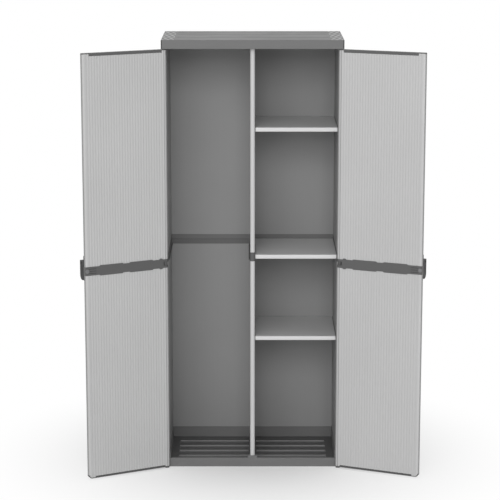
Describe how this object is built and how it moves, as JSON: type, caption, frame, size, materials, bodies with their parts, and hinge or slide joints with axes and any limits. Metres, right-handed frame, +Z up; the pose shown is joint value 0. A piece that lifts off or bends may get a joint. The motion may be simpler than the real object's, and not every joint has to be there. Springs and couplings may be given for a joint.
{
  "type": "garden storage cabinet",
  "caption": "Tall free-standing plastic utility cabinet with hinged double doors, a broom bay beside a shelved bay, and a slatted moulded base.",
  "frame": {"origin": "centre of the base footprint, on the floor", "axes": "+Z up, +Y to the back wall, -Y to the doors, +X to the shelved bay (the right-hand side seen from the front)"},
  "size_m": [1.296, 0.5079, 1.655],
  "materials": {
    "panel_grey": "extruded light grey plastic, fluted, satin",
    "back_grey": "extruded mid grey double-wall sheet, matt",
    "frame_grey": "moulded dark grey plastic, fine texture",
    "handle_grey": "moulded darker grey plastic, satin",
    "pin_steel": "zinc-plated steel"
  },
  "bodies": {
    "carcass": {"base": "frame_grey", "cover": "frame_grey", "side_panel_lower_left": "panel_grey", "side_panel_lower_right": "panel_grey", "side_panel_upper_left": "panel_grey", "side_panel_upper_right": "panel_grey", "side_joint_left": "frame_grey", "side_joint_right": "frame_grey", "back_panel_lower": "back_grey", "back_panel_upper": "back_grey", "back_rail": "frame_grey", "divider_lower": "panel_grey", "divider_upper": "panel_grey", "divider_joint": "frame_grey", "shelf_pegs_upper": "frame_grey", "shelf_pegs_lower": "frame_grey", "hinge_pins_top": "pin_steel", "hinge_pins_middle": "pin_steel"},
    "door_left": {"door_panel_upper_left": "panel_grey", "door_panel_lower_left": "panel_grey", "door_top_cap_left": "frame_grey", "door_bottom_cap_left": "frame_grey", "door_band_left": "frame_grey", "door_handle_left": "handle_grey", "handle_screw_left": "pin_steel"},
    "door_right": {"door_panel_upper_right": "panel_grey", "door_panel_lower_right": "panel_grey", "door_top_cap_right": "frame_grey", "door_bottom_cap_right": "frame_grey", "door_band_right": "frame_grey", "door_handle_right": "handle_grey", "handle_screw_right": "pin_steel"},
    "shelf_upper": {"shelf_upper": "panel_grey"},
    "shelf_middle": {"shelf_middle": "panel_grey"},
    "shelf_lower": {"shelf_lower": "panel_grey"}
  },
  "joints": [
    {"name": "door_left_hinge", "type": "hinge", "parent": "carcass", "child": "door_left", "pos_m": [-0.3305, -0.1795, 0.81], "axis": [0, 0, -1], "range_deg": [-153, 27]},
    {"name": "door_right_hinge", "type": "hinge", "parent": "carcass", "child": "door_right", "pos_m": [0.3305, -0.1795, 0.81], "axis": [0, 0, 1], "range_deg": [-157, 23]},
    {"name": "shelf_upper_lift", "type": "slide", "parent": "carcass", "child": "shelf_upper", "axis": [0, 0, 1], "range_m": [0, 0.1]},
    {"name": "shelf_middle_lift", "type": "slide", "parent": "carcass", "child": "shelf_middle", "axis": [0, 0, 1], "range_m": [0, 0.1]},
    {"name": "shelf_lower_lift", "type": "slide", "parent": "carcass", "child": "shelf_lower", "axis": [0, 0, 1], "range_m": [0, 0.1]}
  ]
}
